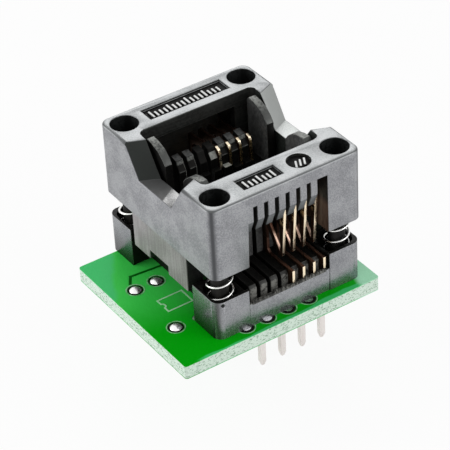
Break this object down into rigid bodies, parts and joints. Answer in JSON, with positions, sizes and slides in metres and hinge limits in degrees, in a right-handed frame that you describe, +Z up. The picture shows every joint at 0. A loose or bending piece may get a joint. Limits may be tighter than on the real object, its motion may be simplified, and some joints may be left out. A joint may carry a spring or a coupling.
{
  "type": "smd to dip adapter board",
  "caption": "Open-top test socket for a narrow small-outline package on a small circuit board with dual in-line header pins; its sprung cover opens the contacts.",
  "frame": {"origin": "middle of the object's outline box in plan, at the level of the header pin tips", "axes": "+Z up through the board and socket; the contact rows run along X; -Y is the side with the edge holes; +X is towards the populated header pins"},
  "size_m": [0.0238, 0.0214, 0.0257],
  "materials": {
    "laminate": "green solder mask over glass laminate",
    "tin": "tinned copper",
    "solder": "bright solder",
    "strip_plastic": "moulded black",
    "pin_tin": "tinned",
    "ink": "printed ink",
    "base_plastic": "fine satin black",
    "cover_plastic": "fine satin black",
    "spring_steel": "drawn wire",
    "contact_gold": "gold plated, bright"
  },
  "bodies": {
    "adapter": {"circuit_board": "laminate", "pad_1": "tin", "pad_2": "tin", "pad_3": "tin", "pad_4": "tin", "pad_5": "tin", "pad_6": "tin", "pad_7": "tin", "solder_1": "solder", "solder_2": "solder", "solder_3": "solder", "solder_4": "solder", "solder_5": "solder", "header_strip_front": "strip_plastic", "header_pin_front_1": "pin_tin", "header_pin_front_2": "pin_tin", "header_pin_front_3": "pin_tin", "header_pin_front_4": "pin_tin", "header_strip_rear": "strip_plastic", "header_pin_rear_1": "pin_tin", "header_pin_rear_2": "pin_tin", "header_pin_rear_3": "pin_tin", "header_pin_rear_4": "pin_tin", "printed_outline": "ink", "socket_base": "base_plastic", "spring_front_left": "spring_steel", "spring_front_right": "spring_steel", "spring_rear_left": "spring_steel", "spring_rear_right": "spring_steel", "contact_foot_front_1": "contact_gold", "contact_foot_front_2": "contact_gold", "contact_foot_front_3": "contact_gold", "contact_foot_front_4": "contact_gold", "contact_foot_rear_1": "contact_gold", "contact_foot_rear_2": "contact_gold", "contact_foot_rear_3": "contact_gold", "contact_foot_rear_4": "contact_gold"},
    "cover": {"cover": "cover_plastic"},
    "front_contacts": {"contact_arm_front_1": "contact_gold", "contact_arm_front_2": "contact_gold", "contact_arm_front_3": "contact_gold", "contact_arm_front_4": "contact_gold"},
    "rear_contacts": {"contact_arm_rear_1": "contact_gold", "contact_arm_rear_2": "contact_gold", "contact_arm_rear_3": "contact_gold", "contact_arm_rear_4": "contact_gold"}
  },
  "joints": [
    {"name": "cover_press", "type": "slide", "parent": "adapter", "child": "cover", "axis": [0, 0, -1], "range_m": [0, 0.0022], "stiffness_N_per_m": 1600, "springref_m": -0.001, "deforming": ["spring_front_left", "spring_front_right", "spring_rear_left", "spring_rear_right"]},
    {"name": "front_swing", "type": "hinge", "parent": "adapter", "child": "front_contacts", "pos_m": [0.00424, -0.00453, 0.0158], "axis": [1, 0, 0], "range_deg": [0, 5.5]},
    {"name": "rear_swing", "type": "hinge", "parent": "adapter", "child": "rear_contacts", "pos_m": [0.00424, 0.00568, 0.0158], "axis": [-1, 0, 0], "range_deg": [0, 5.5]}
  ],
  "couplings": [
    {"joint": "front_swing", "follows": "cover_press", "rad_per_m": 43.6},
    {"joint": "rear_swing", "follows": "cover_press", "rad_per_m": 43.6}
  ]
}
